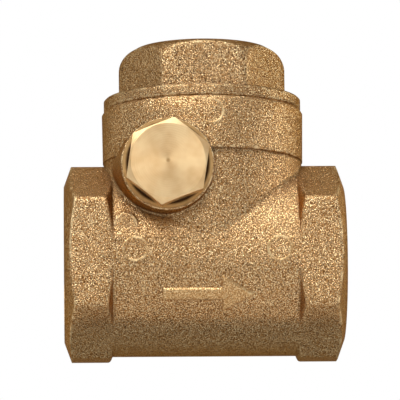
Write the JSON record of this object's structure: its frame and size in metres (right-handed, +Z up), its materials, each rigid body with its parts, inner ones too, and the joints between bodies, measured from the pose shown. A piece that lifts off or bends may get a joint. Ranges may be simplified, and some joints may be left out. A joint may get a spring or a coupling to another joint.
{
  "type": "swing check valve",
  "caption": "Forged brass swing check valve with female threaded pipe ends on hexagon hubs, a hexagon screw cover on the neck and a pin-hung clapper that closes on an inner seat.",
  "frame": {"origin": "centre of the inlet mouth, on the pipe axis", "axes": "+X along the flow from inlet to outlet, +Z up through the screw cover, -Y towards the side with the plug"},
  "size_m": [0.062, 0.0498, 0.0696],
  "materials": {
    "forged_brass": "hot-forged and blasted, fine grain",
    "turned_brass": "bright turned",
    "cast_brass": "satin, as cast",
    "sealing_brass": "soft sealing washer, dull",
    "gasket_fibre": "compressed fibre",
    "black_rubber": "moulded rubber, matt",
    "stainless_steel": "ground and turned stainless steel"
  },
  "bodies": {
    "housing": {"body": "forged_brass", "cover_cap": "forged_brass", "cap_gasket": "gasket_fibre", "hinge_plug": "turned_brass", "plug_gasket": "sealing_brass", "hinge_pin": "stainless_steel"},
    "clapper": {"clapper_arm": "cast_brass"},
    "disc": {"clapper_disc": "turned_brass", "disc_facing": "black_rubber", "disc_washer": "stainless_steel", "disc_nut": "stainless_steel"}
  },
  "joints": [
    {"name": "clapper_swing", "type": "hinge", "parent": "housing", "child": "clapper", "pos_m": [0.0226, 0, 0.0189], "axis": [0, -1, 0], "range_deg": [0, 65]},
    {"name": "disc_spin", "type": "hinge", "parent": "clapper", "child": "disc", "pos_m": [0.0262, 0, 0], "axis": [1, 0, 0], "continuous": true}
  ]
}
